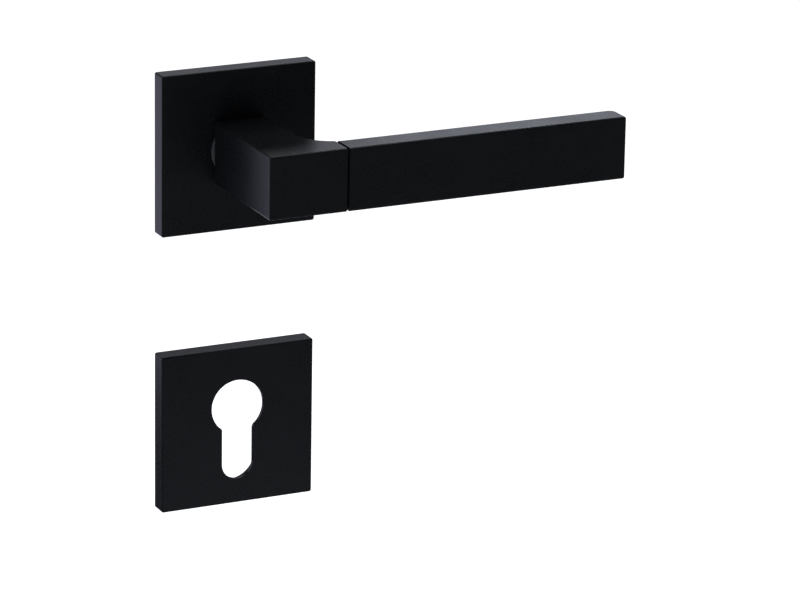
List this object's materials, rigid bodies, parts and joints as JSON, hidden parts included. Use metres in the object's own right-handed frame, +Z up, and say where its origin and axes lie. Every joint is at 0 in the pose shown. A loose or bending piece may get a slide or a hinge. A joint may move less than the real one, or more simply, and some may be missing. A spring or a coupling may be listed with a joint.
{
  "type": "door lever handle",
  "caption": "Straight square-section door lever on a slim square rose with a sprung bearing, and a matching square key escutcheon for a profile cylinder.",
  "frame": {"origin": "spindle axis where it meets the door's face", "axes": "+X along the lever from its axis to its free end, +Y into the door, +Z up; the room is on the -Y side"},
  "size_m": [0.1392, 0.086, 0.1434],
  "materials": {
    "black_coat": "fine matte powder coat",
    "black_nylon": "moulded",
    "grey_nylon": "smooth moulded",
    "zinc_plated_steel": "bright zinc plate",
    "spring_steel": "oiled",
    "blackened_steel": "black oxide",
    "sintered_iron": "sintered"
  },
  "bodies": {
    "door_plates": {"bearing_ring": "grey_nylon", "rose_cover": "black_coat", "rose_base": "black_nylon", "return_spring": "spring_steel", "spring_cage_plate": "zinc_plated_steel", "cage_plate_rivets": "spring_steel", "rose_cover_clips": "spring_steel", "rose_bolt_posts": "zinc_plated_steel", "rose_wood_screws": "zinc_plated_steel", "escutcheon_base": "black_nylon", "escutcheon_clips": "spring_steel", "escutcheon_bolt_posts": "zinc_plated_steel", "escutcheon_wood_screws": "zinc_plated_steel"},
    "lever": {"lever_neck": "black_coat", "lever_grip": "black_coat", "grip_set_screw": "blackened_steel", "spindle_set_screw": "blackened_steel", "spindle": "zinc_plated_steel", "spring_rotor": "sintered_iron"},
    "key_cover": {"escutcheon_cover": "black_coat"}
  },
  "joints": [
    {"name": "lever_turn", "type": "hinge", "parent": "door_plates", "child": "lever", "pos_m": [0, 0, 0], "axis": [0, 1, 0], "range_deg": [0, 45], "stiffness_Nm_per_rad": 1.2, "springref_deg": -22.92, "deforming": ["return_spring"]},
    {"name": "cover_pull", "type": "slide", "parent": "door_plates", "child": "key_cover", "axis": [0, -1, 0], "range_m": [0, 0.02]}
  ]
}
